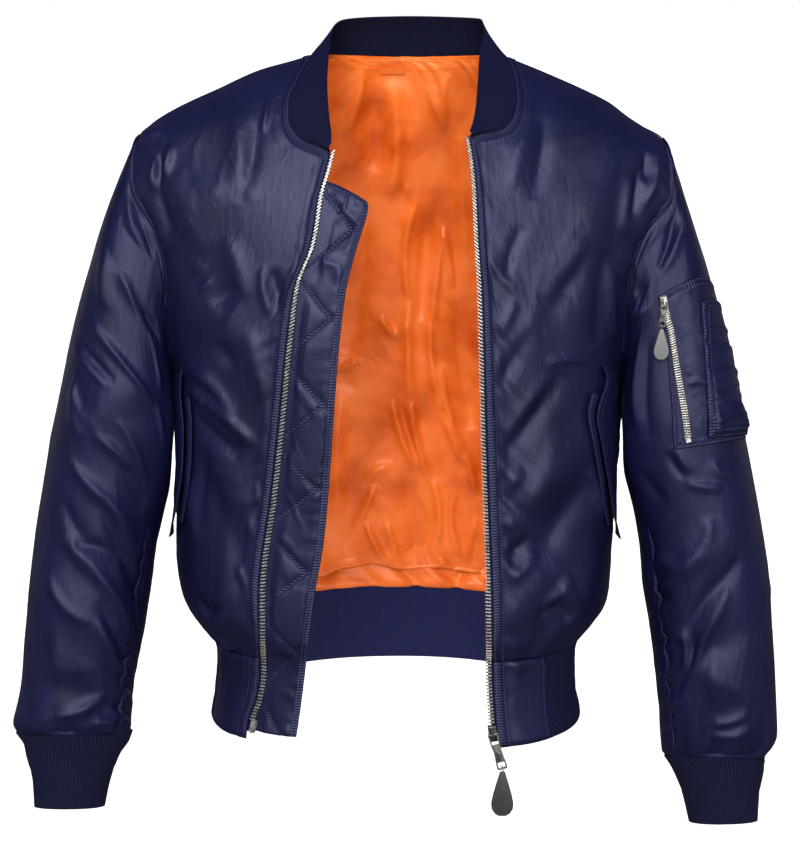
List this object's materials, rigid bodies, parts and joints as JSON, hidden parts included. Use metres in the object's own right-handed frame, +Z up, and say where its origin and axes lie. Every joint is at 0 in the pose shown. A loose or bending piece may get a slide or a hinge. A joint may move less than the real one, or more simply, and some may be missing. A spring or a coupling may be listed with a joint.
{
  "type": "bomber jacket",
  "caption": "Zip-front bomber jacket filled out as worn and open in front, with rib-knit collar, hem and cuffs, side pockets, a sleeve pocket and hinged zip pulls.",
  "frame": {"origin": "middle of the neck base, between the shoulder seams, at the height that rests on the wearer", "axes": "+Z up, -Y the front, +X the wearer's left"},
  "size_m": [0.7867, 0.2791, 0.8294],
  "materials": {
    "navy_satin": "nylon satin",
    "navy_rib_knit": "rib knit",
    "orange_lining": "smooth lining",
    "zip_metal": "satin",
    "grey_tab_metal": "satin",
    "black_rubber_pull": "matte",
    "grey_rubber_pull": "matte"
  },
  "bodies": {
    "jacket": {"front_right": "navy_satin", "front_left": "navy_satin", "back_panel": "navy_satin", "sleeve_right": "navy_satin", "sleeve_left": "navy_satin", "hem_tab_right": "navy_satin", "hem_tab_left": "navy_satin", "pocket_flap_right": "navy_satin", "pocket_flap_left": "navy_satin", "pocket_welt_right": "navy_satin", "pocket_welt_left": "navy_satin", "sleeve_pocket": "navy_satin", "pen_pocket": "navy_satin", "zip_tape_right": "navy_satin", "zip_tape_left": "navy_satin", "wind_flap": "navy_satin", "collar_rib": "navy_rib_knit", "hem_rib": "navy_rib_knit", "cuff_right": "navy_rib_knit", "cuff_left": "navy_rib_knit", "zip_chain_right": "zip_metal", "zip_chain_left": "zip_metal", "zip_pin": "zip_metal", "main_slider": "zip_metal", "main_crown": "zip_metal", "pocket_slider": "zip_metal", "pocket_crown": "zip_metal", "pocket_chain": "zip_metal", "lining_back": "orange_lining", "hanger_loop": "orange_lining"},
    "main_tab": {"main_tab": "grey_tab_metal"},
    "main_drop": {"main_loop": "zip_metal", "main_drop": "black_rubber_pull"},
    "pocket_tab": {"pocket_tab": "grey_tab_metal"},
    "pocket_drop": {"pocket_loop": "zip_metal", "pocket_drop": "grey_rubber_pull"}
  },
  "joints": [
    {"name": "main_tab_swing", "type": "hinge", "parent": "jacket", "child": "main_tab", "pos_m": [0.09163, -0.14002, -0.6301], "axis": [-0.9613, 0, -0.2756], "range_deg": [0, 120]},
    {"name": "main_drop_swing", "type": "hinge", "parent": "main_tab", "child": "main_drop", "pos_m": [0.10149, -0.14002, -0.66447], "axis": [-0.9613, 0, -0.2756], "range_deg": [-40, 40]},
    {"name": "pocket_tab_swing", "type": "hinge", "parent": "jacket", "child": "pocket_tab", "pos_m": [0.25845, -0.08714, -0.20698], "axis": [-0.9962, 0, 0.0872], "range_deg": [0, 110]},
    {"name": "pocket_drop_swing", "type": "hinge", "parent": "pocket_tab", "child": "pocket_drop", "pos_m": [0.25637, -0.08714, -0.23073], "axis": [-0.9962, 0, 0.0872], "range_deg": [0, 40]}
  ]
}
